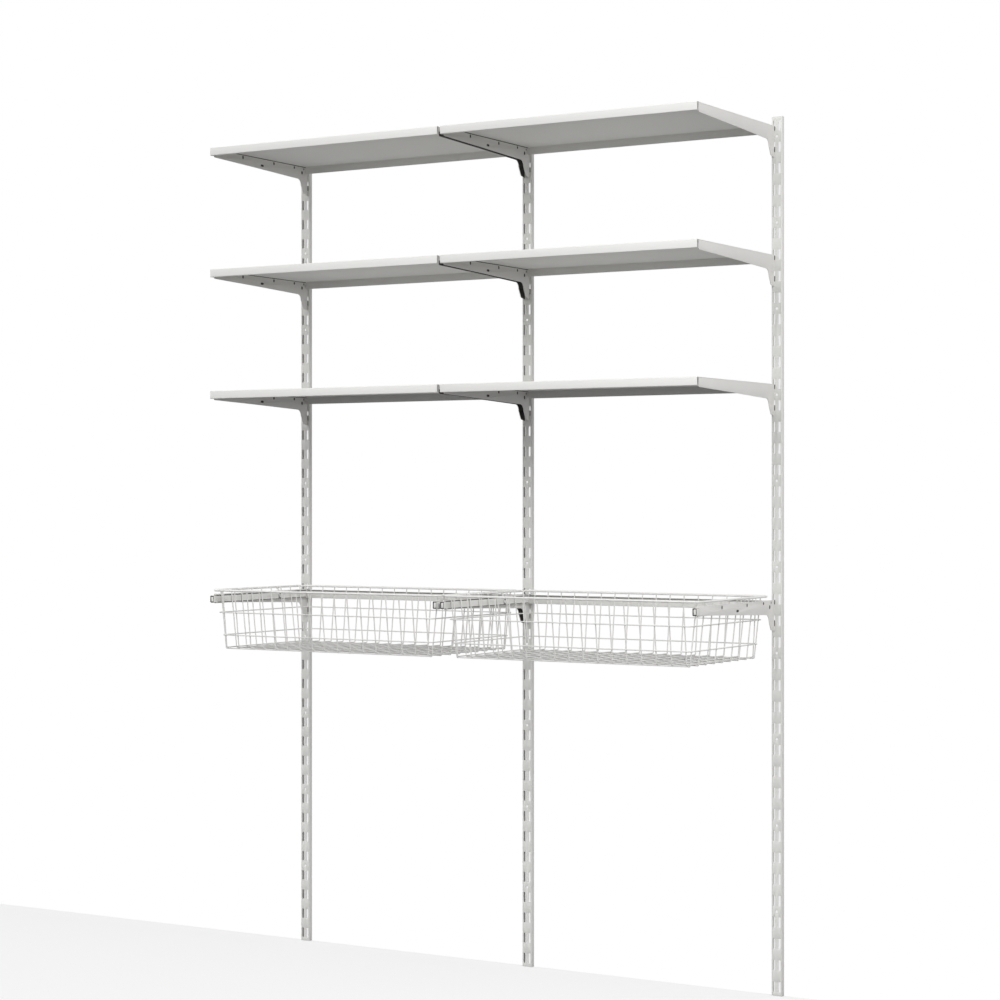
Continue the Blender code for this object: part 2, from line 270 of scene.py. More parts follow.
coatLook = {
    "roughnessSpread": 0.05,
    "cloudDetail": 3,
    "cloudShare": 0.7,
    "speckScale": 900,
    "speckDetail": 2,
    "speckShare": 0.3,
    "shadeUpTo": 0.3,
    "colourFrom": 0.7,
    "peelScale": 1100,
    "peelDetail": 1,
    "peelStrength": 0.25,
    "peelDepth": 0.0002,
    "ior": 1.5,
    "specular": 0.3,
}


def coatFinish(name, changes):
    look = {**coatLook, **changes}
    finish = bpy.data.materials.new(name)
    finish.use_nodes = True
    tree = finish.node_tree
    shader = tree.nodes["Principled BSDF"]
    place = tree.nodes.new("ShaderNodeTexCoord")

    def addNoise(word):
        noise = tree.nodes.new("ShaderNodeTexNoise")
        noise.inputs["Scale"].default_value = look[word + "Scale"]
        noise.inputs["Detail"].default_value = look[word + "Detail"]
        tree.links.new(place.outputs["Object"], noise.inputs["Vector"])
        return noise

    cloud = addNoise("cloud")  # slow change of tone over a hand's width
    speck = addNoise("speck")  # grains of powder that flowed out unevenly
    both = tree.nodes.new("ShaderNodeMath")
    both.operation = "MULTIPLY_ADD"
    both.inputs[1].default_value = look["cloudShare"]
    tree.links.new(cloud.outputs["Fac"], both.inputs[0])
    grain = tree.nodes.new("ShaderNodeMath")
    grain.operation = "MULTIPLY"
    grain.inputs[1].default_value = look["speckShare"]
    tree.links.new(speck.outputs["Fac"], grain.inputs[0])
    tree.links.new(grain.outputs["Value"], both.inputs[2])
    tones = tree.nodes.new("ShaderNodeValToRGB")
    tones.color_ramp.elements[0].position = look["shadeUpTo"]
    tones.color_ramp.elements[0].color = (*look["shade"], 1)
    tones.color_ramp.elements[1].position = look["colourFrom"]
    tones.color_ramp.elements[1].color = (*look["colour"], 1)
    tree.links.new(both.outputs["Value"], tones.inputs["Fac"])
    tree.links.new(tones.outputs["Color"], shader.inputs["Base Color"])

    sheen = tree.nodes.new("ShaderNodeMapRange")
    sheen.inputs["To Min"].default_value = look["roughness"] - look["roughnessSpread"]
    sheen.inputs["To Max"].default_value = look["roughness"] + look["roughnessSpread"]
    tree.links.new(speck.outputs["Fac"], sheen.inputs["Value"])
    tree.links.new(sheen.outputs["Result"], shader.inputs["Roughness"])

    peel = addNoise("peel")  # orange peel
    relief = tree.nodes.new("ShaderNodeBump")
    relief.inputs["Strength"].default_value = look["peelStrength"]
    relief.inputs["Distance"].default_value = look["peelDepth"]
    tree.links.new(peel.outputs["Fac"], relief.inputs["Height"])
    tree.links.new(relief.outputs["Normal"], shader.inputs["Normal"])

    shader.inputs["IOR"].default_value = look["ior"]
    shader.inputs["Specular IOR Level"].default_value = look["specular"]
    return finish


uprightCoat = coatFinish("white_powder_coat_upright", {
    "colour": (0.700, 0.700, 0.680),
    "shade": (0.665, 0.665, 0.645),
    "roughness": 0.58,
    "roughnessSpread": 0.06,
    "cloudScale": 7,
})
bracketCoat = coatFinish("white_powder_coat_bracket", {
    "colour": (0.720, 0.712, 0.694),
    "shade": (0.690, 0.682, 0.664),
    "roughness": 0.56,
    "roughnessSpread": 0.06,
    "cloudScale": 11,
    "speckScale": 950,
    "peelScale": 1200,
})
shelfCoat = coatFinish("white_powder_coat_shelf", {
    "colour": (0.815, 0.812, 0.795),
    "shade": (0.790, 0.787, 0.770),
    "roughness": 0.62,
    "cloudScale": 4,
    "speckScale": 800,
    "peelScale": 900,
    "peelStrength": 0.3,
    "specular": 0.02,
})
runnerCoat = coatFinish("white_powder_coat_runner", {
    "colour": (0.730, 0.725, 0.705),
    "shade": (0.700, 0.695, 0.675),
    "roughness": 0.54,
    "cloudScale": 9,
})
# Painted shade: a near-black colour for faces in holes, hollows and gaps where shade falls, not a
# material of the object
paintedShade = coatFinish("painted_shade_dark", {
    "colour": (0.060, 0.058, 0.056),
    "shade": (0.040, 0.039, 0.038),
    "roughness": 0.50,
    "roughnessSpread": 0.08,
    "cloudScale": 20,
    "peelScale": 1500,
    "peelStrength": 0.15,
    "peelDepth": 0.0001,
    "specular": 0.2,
})
rimCoat = coatFinish("white_dip_coat_rim", {
    "colour": (0.800, 0.795, 0.778),
    "shade": (0.770, 0.765, 0.748),
    "roughness": 0.45,
    "cloudScale": 20,
    "speckScale": 1200,
    "peelScale": 700,
    "peelStrength": 0.2,
    "specular": 0.35,
})
# Painted shade: the wires are the same coat as the rim, painted darker to stand in for the shading of
# thin wires
shadedWireCoat = coatFinish("white_wire_coat_with_painted_shade", {
    "colour": (0.725, 0.720, 0.703),
    "shade": (0.690, 0.685, 0.668),
    "roughness": 0.48,
    "cloudScale": 30,
    "speckScale": 1400,
    "peelScale": 700,
    "peelStrength": 0.2,
    "specular": 0.25,
})
guideNylon = coatFinish("white_nylon_guide", {
    "colour": (0.860, 0.860, 0.845),
    "shade": (0.830, 0.830, 0.812),
    "roughness": 0.34,
    "roughnessSpread": 0.08,
    "cloudScale": 40,
    "speckScale": 1800,
    "peelScale": 2600,
    "peelStrength": 0.15,
    "peelDepth": 0.0001,
    "ior": 1.53,
    "specular": 0.4,
})
print("finishes made")


# Uprights: folded channels, open to the wall, with two columns of slots and a row of screw holes

upright = {
    "width": 0.0255,
    "depth": 0.0115,
    "sheet": 0.0015,
    "bend": 0.0018,
    "bendSteps": 5,
    "slots": 41,
    "slotHeight": 0.023,
    "slotWidth": 0.0053,
    "slotCorner": 0.0009,
    "slotCornerSteps": 3,
    "slotFront": 0.02,
    "slotBack": 0.005,
    "column": 0.0067,
    "holes": 10,
    "holePitch": 0.192,
    "holeRadius": 0.0028,
    "holeDepth": 0.012,
    "edge": 0.0002,
}


def makeUpright(s):
    half = s["width"] / 2
    channel = addBlock("upright", (-half, -s["depth"], unit["bottom"]), (half, 0, unit["top"]))
    openEdit(channel)
    pick(channel, "FACE", lambda face: face.normal.y > straight or abs(face.normal.z) > straight)
    bpy.ops.mesh.delete(type="FACE")
    pick(channel, "EDGE", lambda edge: alongAxis(edge, 2) and near(middleOf(edge).y, -s["depth"]))
    roundEdges(s["bend"], s["bendSteps"])
    closeEdit()
    giveThickness(channel, s["sheet"])

    top = unit["firstSlotTop"]
    low = (-s["column"] - s["slotWidth"] / 2, -s["slotFront"], top - s["slotHeight"])
    high = (-s["column"] + s["slotWidth"] / 2, -s["slotBack"], top)
    slot = addBlock("slot", low, high)
    openEdit(slot)
    pick(slot, "EDGE", lambda edge: alongAxis(edge, 1))
    roundEdges(s["slotCorner"], s["slotCornerSteps"])
    closeEdit()
    repeat(slot, s["slots"], (0, 0, -unit["slotPitch"]))
    repeat(slot, 2, (2 * s["column"], 0, 0))
    punch(channel, slot)
    hole = addPin("hole", (0, -s["depth"], 0), s["holeRadius"], s["holeDepth"], (math.pi / 2, 0, 0))
    repeat(hole, s["holes"], (0, 0, -s["holePitch"]))
    punch(channel, hole)
    easeEdges(channel, s["edge"])
    smooth(channel)
    return channel


uprightModel = makeUpright(upright)
for word, place in uprightPlaces.items():
    twin = copyPiece(uprightModel, word, (place * unit["bayPitch"], 0, 0))
    rideAndReplace(twin, word + "_upright", "wall_frame", uprightCoat)
bpy.data.objects.remove(uprightModel)
print("uprights punched")


# Brackets: a stamped plate with a tapering arm, a gusset and two hooks that go through the slots

bracket = {
    "plate": 0.0015,
    "reach": 0.3885,
    "tip": 0.0200,
    "tipRound": 0.0035,
    "tipSteps": 5,
    "bendReach": 0.231,
    "bendHeight": 0.0252,
    "root": 0.0320,
    "fillet": 0.014,
    "filletSteps": 8,
    "filletRoom": 0.0002,
    "gussetFront": 0.039,
    "footFront": 0.028,
    "footHeight": 0.0665,
    "gussetHeight": 0.0700,
    "neck": 0.012,
    "hookReach": 0.0034,
    "hookFall": 0.0075,
    "hookTaper": 0.0008,
    "face": 0.0118,
    "faceBack": 0.0097,
    "holeFloor": 0.0002,
    "holeDepth": 0.004,
    "hollowHalf": 0.6,
    "hollowSlack": 0.0002,
    "darkBelow": 0.0100,
    "shadeUnderShelf": 0.0016,
    "edge": 0.00025,
}
# Each hole by its distance from the wall, its drop under the top edge, its length and its height
bracketHoles = [
    (0.2766, 0.0068, 0.0060, 0.0085),
    (0.1999, 0.0174, 0.0125, 0.0055),
    (0.1521, 0.0068, 0.0062, 0.0078),
    (0.0676, 0.0062, 0.0062, 0.0066),
    (0.0351, 0.0153, 0.0066, 0.0085),
    (0.0275, 0.0060, 0.0040, 0.0052),
]


def makeBracket(s, bothFaces):
    half = s["plate"] / 2
    upperFoot = unit["bracketDrop"] - upright["slotHeight"] + unit["gap"]
    lowerFoot = upperFoot - unit["slotPitch"]
    plate = addBlock("bracket", (-half, -s["reach"], -s["root"]), (half, -s["face"], 0))
    openEdit(plate)
    firstStep = s["fillet"] + s["filletRoom"]
    for reach in (s["bendReach"], s["gussetFront"] + firstStep, s["gussetFront"]):
        scoreAcross(1, -reach)

    # The arm tapers from its root to its tip, and its lower front corner is round
    pick(plate, "VERT", lambda vert: near(vert.co.y, -s["reach"]) and vert.co.z < -spare)
    shift(z=s["root"] - s["tip"])
    pick(plate, "VERT", lambda vert: near(vert.co.y, -s["bendReach"]) and vert.co.z < -spare)
    shift(z=s["root"] - s["bendHeight"])
    pick(plate, "EDGE", lambda edge: alongAxis(edge, 0) and near(middleOf(edge).y, -s["reach"])
         and middleOf(edge).z < -spare)
    roundEdges(s["tipRound"], s["tipSteps"])

    # The gusset is drawn down from the root in two steps, and its inner corner gets a wide fillet
    pick(plate, "FACE", lambda face: face.normal.z < -straight and middleOf(face).y > -s["gussetFront"])
    drawOut(z=-firstStep)
    drawOut(z=s["root"] + firstStep - s["footHeight"])
    pick(plate, "VERT", lambda vert: near(vert.co.z, -s["footHeight"])
         and near(vert.co.y, -s["gussetFront"]))
    shift(y=s["gussetFront"] - s["footFront"])
    pick(plate, "VERT", lambda vert: near(vert.co.z, -s["footHeight"]) and near(vert.co.y, -s["face"]))
    shift(z=s["footHeight"] - s["gussetHeight"])
    pick(plate, "EDGE", lambda edge: alongAxis(edge, 0) and near(middleOf(edge).y, -s["gussetFront"])
         and near(middleOf(edge).z, -s["root"]))
    roundEdges(s["fillet"], s["filletSteps"])

    # The hooks grow from the rear edge: a neck through the slot, then a tongue that falls behind it
    for height in (upperFoot, lowerFoot, lowerFoot + s["neck"]):
        scoreAcross(2, height)
    neckReach = s["face"] - s["faceBack"]
    for high, foot in ((0, upperFoot), (lowerFoot + s["neck"], lowerFoot)):
        pick(plate, "FACE", lambda face: face.normal.y > straight and near(middleOf(face).y, -s["face"])
             and foot < middleOf(face).z < high)
        drawOut(y=neckReach)
        drawOut(y=s["hookReach"])
        pick(plate, "FACE", lambda face: face.normal.z < -straight and near(middleOf(face).z, foot)
             and middleOf(face).y > -s["faceBack"])
        drawOut(z=-s["hookFall"])
        pick(plate, "VERT", lambda vert: near(vert.co.z, foot - s["hookFall"])
             and near(vert.co.y, s["hookReach"] - s["faceBack"]))
        shift(y=-s["hookTaper"])
    closeEdit()

    # The small holes are blind: each is sunk into one face, or into both, down to a floor
    for reach, drop, length, height in bracketHoles:
        place = (s["holeFloor"] + s["holeDepth"] / 2, -reach, -drop)
        hole = addPin("hole", place, min(length, height) / 2, s["holeDepth"], (0, math.pi / 2, 0))
        if bothFaces:
            repeat(hole, 2, (-2 * place[0], 0, 0))
        axis = 1 if length > height else 2
        stretchHole(hole, axis, place[axis], abs(length - height) / 2)
        punch(plate, hole)
    easeEdges(plate, s["edge"])

    # Painted shade: the floors of the holes and the hooks are painted dark, where shade falls in the
    # holes and inside the upright
    def isDark(face):
        x, y, z = middleOf(face)
        if y > s["hollowSlack"] - s["face"]:
            return True
        spans = [(abs(y + reach) - length / 2, abs(z + drop) - height / 2)
                 for reach, drop, length, height in bracketHoles]
        return abs(x) < s["hollowHalf"] * half and any(max(span) < s["hollowSlack"] for span in spans)

    paintFaces(plate, bracketCoat, paintedShade, isDark)
    smooth(plate)
    return plate


def darkenFaces(piece, height, test):
    # A new line of edges bounds the faces of painted shade, which lie above or below that height
    openEdit(piece)
    scoreAcross(2, height)
    closeEdit()
    paintFaces(piece, bracketCoat, paintedShade, test)


# The photo shows no holes on the outer face of a shelf's bracket
shelfBracket = makeBracket(bracket, False)
basketBracket = makeBracket(bracket, True)
for bay, bayWay in bays.items():
    for level, slotNumber in levels.items():
        for side, way in sides.items():
            x = bayWay * unit["bayPitch"] / 2 + way * (unit["bayPitch"] / 2 - upright["column"])
            model = basketBracket if level == "basket" else shelfBracket
            twin = copyPiece(model, "bracket", (x, 0, bracketTop(slotNumber)), mirrored=way > 0)
            # Painted shade: below a line, the face of the left bay's right bracket that looks at its
            # partner is painted dark, where shade falls in the gap between the middle pair
            if (bay, side) == ("left", "right"):  # the space between the middle pair is dark
                height = bracketTop(slotNumber) - bracket["darkBelow"]
                darkenFaces(twin, height,
                            lambda face: face.normal.x > straight and middleOf(face).z < height)
            if level != "basket":  # a thin band of painted shade on the bracket's inner face under the shelf
                height = bracketTop(slotNumber) - bracket["shadeUnderShelf"]
                darkenFaces(twin, height,
                            lambda face: way * face.normal.x < -straight and middleOf(face).z > height)
            node = f"{bay}_bay_{level}_{side}_bracket"
            rideAndReplace(twin, node, "wall_frame", bracketCoat)
bpy.data.objects.remove(shelfBracket)
bpy.data.objects.remove(basketBracket)
print("brackets stamped")


# Shelves: one folded sheet each, with a hemmed front and a rear flange cut back beside the brackets

shelf = {
    "width": 0.6379,
    "front": 0.400,
    "back": 0.0195,
    "sheet": 0.0008,
    "flange": 0.0185,
    "hem": 0.0075,
    "bend": 0.0014,
    "bendSteps": 4,
    "nose": 0.009,
    "flangeGap": 0.0006,
    "notchDepth": 0.003,
    "notchHeight": 0.03,
    "trimBelow": 0.0001,
    "trimAbove": 0.01,
    "pastEnd": 0.38274,
    "edge": 0.00015,
}


def makeShelf(s):
    top = unit["gap"] + s["sheet"]
    clearSelection()
    bpy.ops.mesh.primitive_plane_add(size=1, location=(0, -(s["front"] + s["back"]) / 2, top))
    deck = bpy.context.object
    deck.scale = (s["width"], s["front"] - s["back"], 1)
    settle(deck)
    openEdit(deck)
    pick(deck, "EDGE", lambda edge: near(middleOf(edge).y, -s["front"]))
    drawOut(z=-s["flange"])
    drawOut(y=s["hem"])
    pick(deck, "EDGE", lambda edge: near(middleOf(edge).y, -s["back"]))
    drawOut(z=-s["flange"])
    turnOutward()
    pick(deck, "EDGE", lambda edge: alongAxis(edge, 0) and len(edge.link_faces) == 2)
    roundEdges(s["bend"], s["bendSteps"])
    closeEdit()
    upward = max(deck.data.polygons, key=lambda face: face.area)
    if upward.normal.z < 0:
        openEdit(deck)
        bpy.ops.mesh.select_all(action="SELECT")
        bpy.ops.mesh.flip_normals()
        closeEdit()
    giveThickness(deck, s["sheet"])

    # The rear flange ends beside the brackets, and behind its nose the deck is flush with their outside
    bracketPlace = unit["bayPitch"] / 2 - upright["column"]
    flangeHalf = bracketPlace - bracket["plate"] / 2 - s["flangeGap"]
    deckHalf = bracketPlace + bracket["plate"] / 2
    for way in (-1, 1):
        low, high = sorted((way * flangeHalf, way * s["pastEnd"]))
        notch = addBlock("notch", (low, -s["back"] - s["notchDepth"], -s["notchHeight"]),
                         (high, -s["back"] + s["notchDepth"], 0))
        punch(deck, notch)
        low, high = sorted((way * deckHalf, way * s["pastEnd"]))
        trim = addBlock("trim", (low, s["nose"] - s["front"], -s["trimBelow"]), (high, 0, s["trimAbove"]))
        punch(deck, trim)
    easeEdges(deck, s["edge"])
    smooth(deck)
    return deck


shelfModel = makeShelf(shelf)
for bay, bayWay in bays.items():
    for level in ("top", "middle", "lower"):
        move = (bayWay * unit["bayPitch"] / 2, 0, bracketTop(levels[level]))
        twin = copyPiece(shelfModel, "shelf", move)
        rideAndReplace(twin, f"{bay}_bay_{level}_shelf", "wall_frame", shelfCoat)
bpy.data.objects.remove(shelfModel)
print("shelves folded")


# Runners: sheet tubes with a slit along the top and a groove along the bottom of the side that
# faces the basket, a saddle in front for its rim, and a ring-shaped head in front of the bracket

runner = {
    "outer": 0.0077,
    "inner": 0.0150,
    "sheet": 0.0009,
    "topDrop": 0.0033,
    "height": 0.0185,
    "lift": 0.0018,
    "front": 0.3891,
    "back": 0.0210,
    "bend": 0.0012,
    "bendSteps": 4,
    "wallCut": 0.002,
    "slitDrop": 0.0010,
    "slitReach": 0.0012,
    "grooveLow": 0.0014,
    "grooveHigh": 0.0029,
    "grooveFrontEnd": 0.004,
    "grooveBackEnd": 0.006,
    "seamFromWall": 0.2928,
    "seamWidth": 0.0014,
    "seamAboveGroove": 0.0012,
    "holeRadius": 0.0056,
    "holeStretch": 0.0016,
    "holeDepth": 0.004,
    "holeEdges": 28,
    "saddleFront": 0.3655,
    "saddleLength": 0.0045,
    "saddleWidth": 0.0021,
    "saddleTop": 0.0061,
    "saddleFoot": 0.0007,
    "saddleInset": 0.0001,
    "saddleRound": 0.0025,
    "saddleSteps": 5,
    "headFront": 0.400,
    "headOuter": 0.0042,
    "headInner": 0.0153,
    "headRise": 0.0012,
    "headCorner": 0.0026,
    "headSteps": 5,
    "headWall": 0.0007,
    "headFloor": 0.001,
    "headGap": 0.0022,
    "coreBack": 0.0003,
    "coreCorner": 0.0012,
    "hollowShare": 0.7,
    "hollowSlack": 0.0002,
    "guideFromWall": 0.1370,
    "guideNotch": 0.0040,
    "edge": 0.0002,
}


def makeRunner(s):
    # Modelled at the right end of a bay whose end is at x = 0
    top = -s["topDrop"]
    brim = top + s["lift"]
    bottom = top - s["height"]
    rail = addBlock("rail", (-s["inner"], -s["front"], bottom), (-s["outer"], -s["back"], brim))
    openEdit(rail)
    pick(rail, "FACE", lambda face: abs(face.normal.y) > straight)
    bpy.ops.mesh.delete(type="FACE")
    pick(rail, "EDGE", lambda edge: alongAxis(edge, 1))
    roundEdges(s["bend"], s["bendSteps"])
    closeEdit()
    giveThickness(rail, s["sheet"])

    # Cuts in the wall that faces the basket
    wallLow, wallHigh = -s["inner"] - s["wallCut"], -s["inner"] + s["wallCut"]
    slit = addBlock("slit", (wallLow, -s["front"] - spare, top - s["slitDrop"]),
                    (-s["inner"] + s["slitReach"], -s["back"] + spare, brim + spare))
    punch(rail, slit)
    groove = addBlock("groove", (wallLow, -s["front"] + s["grooveFrontEnd"], bottom + s["grooveLow"]),
                      (wallHigh, -s["back"] - s["grooveBackEnd"], bottom + s["grooveHigh"]))
    punch(rail, groove)
    seamY = -s["seamFromWall"]
    seamBottom = bottom + s["grooveHigh"] + s["seamAboveGroove"]
    seam = addBlock("seam", (wallLow, seamY - s["seamWidth"] / 2, seamBottom),
                    (wallHigh, seamY + s["seamWidth"] / 2, brim + spare))
    punch(rail, seam)
    guideY = -s["guideFromWall"]
    place = (-s["inner"], guideY, (top + bottom) / 2)
    hole = addPin("hole", place, s["holeRadius"], s["holeDepth"], (0, math.pi / 2, 0), s["holeEdges"])
    stretchHole(hole, 1, guideY, s["holeStretch"])
    punch(rail, hole)
    notch = addBlock("notch", (wallLow, guideY - s["guideNotch"], top - spare),
                     (-s["outer"] - s["sheet"], guideY + s["guideNotch"], brim + spare))
    punch(rail, notch)

    saddleY = -s["saddleFront"]
    saddle = addBlock("saddle", (-s["outer"] - s["saddleWidth"], saddleY, brim - s["saddleFoot"]),
                      (-s["outer"] - s["saddleInset"], saddleY + s["saddleLength"], s["saddleTop"]))
    openEdit(saddle)
    pick(saddle, "EDGE", lambda edge: alongAxis(edge, 0) and near(middleOf(edge).z, s["saddleTop"]))
    roundEdges(s["saddleRound"], s["saddleSteps"])
    closeEdit()
    punch(rail, saddle, "UNION")

    low = (-s["headInner"], -s["headFront"], bottom + s["headRise"])
    high = (-s["headOuter"], -s["front"], top)
    head = addBlock("head", low, high)
    openEdit(head)
    pick(head, "EDGE", lambda edge: alongAxis(edge, 1))
    roundEdges(s["headCorner"], s["headSteps"])
    pick(head, "FACE", lambda face: face.normal.y < -straight)
    bpy.ops.mesh.inset(thickness=s["headWall"])
    drawOut(y=s["headFront"] - s["front"] - s["headFloor"])
    closeEdit()
    rim = s["headWall"] + s["headGap"]
    core = addBlock("core", (low[0] + rim, -s["headFront"] + s["coreBack"], low[2] + rim),
                    (high[0] - rim, -s["front"], high[2] - rim))
    openEdit(core)
    pick(core, "EDGE", lambda edge: alongAxis(edge, 1))
    roundEdges(s["coreCorner"], s["bendSteps"])
    closeEdit()
    punch(head, core, "UNION")
    punch(rail, head, "UNION")
    easeEdges(rail, s["edge"])

    # Painted shade: the inside of the tube and the hollow of the head's ring are painted near-black,
    # where shade falls inside them
    deep = s["hollowShare"] * s["sheet"]
    ring = s["hollowShare"] * s["headWall"]
    slack = s["hollowSlack"]

    def within(x, z, inset):
        return low[0] + inset < x < high[0] - inset and low[2] + inset < z < high[2] - inset

    def isInside(face):
        x, y, z = middleOf(face)
        inTube = -s["inner"] + deep < x < -s["outer"] - deep and bottom + deep < z < brim - deep
        if y > -s["front"] - slack:
            return inTube and abs(face.normal.y) < straight
        onFloor = y > -s["front"] - s["headFloor"] - slack and face.normal.y < -straight
        inRing = y > 2 * s["coreBack"] - s["headFront"] and within(x, z, ring)
        return inRing and (onFloor or not within(x, z, rim - ring))

    paintFaces(rail, runnerCoat, paintedShade, isInside)
    smooth(rail)
    return rail


def placeRunnerParts(model, word, finish):
    for bay, bayWay in bays.items():
        for side, way in sides.items():
            x = bayWay * unit["bayPitch"] / 2 + way * unit["bayPitch"] / 2
            move = (x, 0, bracketTop(levels["basket"]))
            twin = copyPiece(model, word, move, mirrored=way < 0)
            rideAndReplace(twin, f"{bay}_bay_{side}_{word}", "wall_frame", finish)
    bpy.data.objects.remove(model)


placeRunnerParts(makeRunner(runner), "runner", runnerCoat)
print("runners bent")


# Guides: a nylon leg in the runner, an arm under the basket's rim and a button in the runner's hole

guide = {
    "length": 0.0052,
    "wall": 0.0012,
    "underRim": 0.0046,
    "drop": 0.0100,
    "crown": 0.0061,
    "crownRound": 0.00108,
    "crownSteps": 5,
    "button": 0.0042,
    "buttonBack": 0.0019,
    "buttonProud": 0.0002,
    "buttonFoot": 0.0003,
    "buttonEdges": 28,
    "edge": 0.0003,
}


def makeGuide(s):
    y = -runner["guideFromWall"]
    outer = runner["outer"] + runner["sheet"] + unit["gap"]
    inner = outer + s["wall"]
    leg = addBlock("guide", (-inner, y - s["length"] / 2, -s["drop"]),
                   (-outer, y + s["length"] / 2, s["crown"]))
    openEdit(leg)
    armBottom = s["crown"] - 2 * s["wall"]
    scoreAcross(2, armBottom)
    pick(leg, "FACE", lambda face: face.normal.x > straight and middleOf(face).z > armBottom)
    drawOut(x=outer - s["underRim"])
    pick(leg, "EDGE", lambda edge: alongAxis(edge, 1) and near(middleOf(edge).x, -inner)
         and near(middleOf(edge).z, s["crown"]))
    roundEdges(s["crownRound"], s["crownSteps"])
    closeEdit()
    foot = inner - s["buttonFoot"]
    face = runner["inner"] + s["buttonProud"]
    place = (-(face + foot) / 2, y + s["buttonBack"], -runner["topDrop"] - runner["height"] / 2)
    button = addPin("button", place, s["button"], face - foot, (0, math.pi / 2, 0), s["buttonEdges"])
    punch(leg, button, "UNION")
    easeEdges(leg, s["edge"])
    smooth(leg)
    return leg


placeRunnerParts(makeGuide(guide), "glide", guideNylon)
print("guides moulded")


# Rear bars: sheet tubes between the two runners, close to the wall, with a slot along the front

bar = {
    "depth": 0.0085,
    "sheet": 0.0008,
    "bend": 0.00084,
    "bendSteps": 4,
    "lift": 0.0022,
    "slotAbove": 0.0014,
    "slotBelow": 0.0018,
    "slotDepth": 0.002,
    "edge": 0.0002,
}


def makeBar(s):
    half = unit["bayPitch"] / 2 - runner["inner"] - unit["gap"]
    top = -runner["topDrop"]
    front = -runner["back"] - s["depth"]
    tube = addBlock("bar", (-half, front, top - runner["height"]),
                    (half, -runner["back"], top + s["lift"]))
    openEdit(tube)
    pick(tube, "FACE", lambda face: abs(face.normal.x) > straight)
    bpy.ops.mesh.delete(type="FACE")
    pick(tube, "EDGE", lambda edge: alongAxis(edge, 0))
    roundEdges(s["bend"], s["bendSteps"])
    closeEdit()
    giveThickness(tube, s["sheet"])
    slot = addBlock("slot", (-half - spare, front - spare, top - s["slotBelow"]),
                    (half + spare, front + s["slotDepth"], top + s["slotAbove"]))
    punch(tube, slot)
    easeEdges(tube, s["edge"])
    smooth(tube)
    return tube


barModel = makeBar(bar)
for bay, bayWay in bays.items():
    move = (bayWay * unit["bayPitch"] / 2, 0, bracketTop(levels["basket"]))
    twin = copyPiece(barModel, "bar", move)
    rideAndReplace(twin, bay + "_bay_rear_bar", "wall_frame", runnerCoat)
bpy.data.objects.remove(barModel)
print("rear bars bent")


# Baskets: bent wires welded to a thick rim, a lower ring and an upper one in four parts

basket = {
    "wire": 0.00135,
    "wireEdges": 10,
    "rim": 0.0025,
    "rimEdges": 16,
    "rimHalf": 0.3172,
    "rimFront": 0.3960,
    "rimBack": 0.0385,
    "rimCorner": 0.019,
    "rimSteps": 8,
    "rimAbove": 0.0089,
    "wallTop": 0.3056,
    "wallBottom": 0.2900,
    "frontBottom": 0.3797,
    "backBottom": 0.0538,
    "height": 0.1415,
    "bend": 0.0035,
    "bendSteps": 5,
    "foot": 0.0008,
    "long": 17,
    "longPitch": 0.0356,
    "cross": 9,
    "crossPitch": 0.0395,
    "ringCorner": 0.012,
    "ringArc": 0.98,
    "upperDrop": 0.0520,
    "lowerDrop": 0.1055,
    "weld": 0.00025,
    "floorWeld": 0.0004,
    "smoothAngle": 50,
}


def roundCorners(corners, radius, steps, closed=False):
    # Each corner of a wire's line becomes an arc
    points = []
    count = len(corners)
    for i, corner in enumerate(corners):
        corner = Vector(corner)
        if not closed and i in (0, count - 1):
            points.append(corner)
            continue
        back = (Vector(corners[i - 1]) - corner).normalized()
        onward = (Vector(corners[(i + 1) % count]) - corner).normalized()
        opening = back.angle(onward)
        reach = radius / math.tan(opening / 2)
        centre = corner + (back + onward).normalized() * radius / math.sin(opening / 2)
        start = corner + back * reach - centre
        end = corner + onward * reach - centre
        turn = start.angle(end)
        for step in range(steps + 1):
            share = step / steps
            arm = (start * math.sin((1 - share) * turn) + end * math.sin(share * turn)) / math.sin(turn)
            points.append(centre + arm)
    return points


def bendWire(name, points, radius, edges, closed=False, slack=0.000001):
    clearSelection()
    bpy.ops.curve.primitive_nurbs_path_add()
    wire = bpy.context.object
    wire.name = name
    line = wire.data
    line.splines.clear()
    spline = line.splines.new("POLY")
    spline.points.add(len(points) - 1)
    for target, point in zip(spline.points, points):
        target.co = (*point, 1)
    spline.use_cyclic_u = closed
    line.dimensions = "3D"
    line.bevel_depth = radius
    line.bevel_resolution = (edges - 4) // 2
    line.use_fill_caps = not closed
    makeActive(wire)
    bpy.ops.object.convert(target="MESH")
    wire = bpy.context.object
    openEdit(wire)
    bpy.ops.mesh.select_all(action="SELECT")
    bpy.ops.mesh.remove_doubles(threshold=slack)
    turnOutward()
    closeEdit()
    return wire


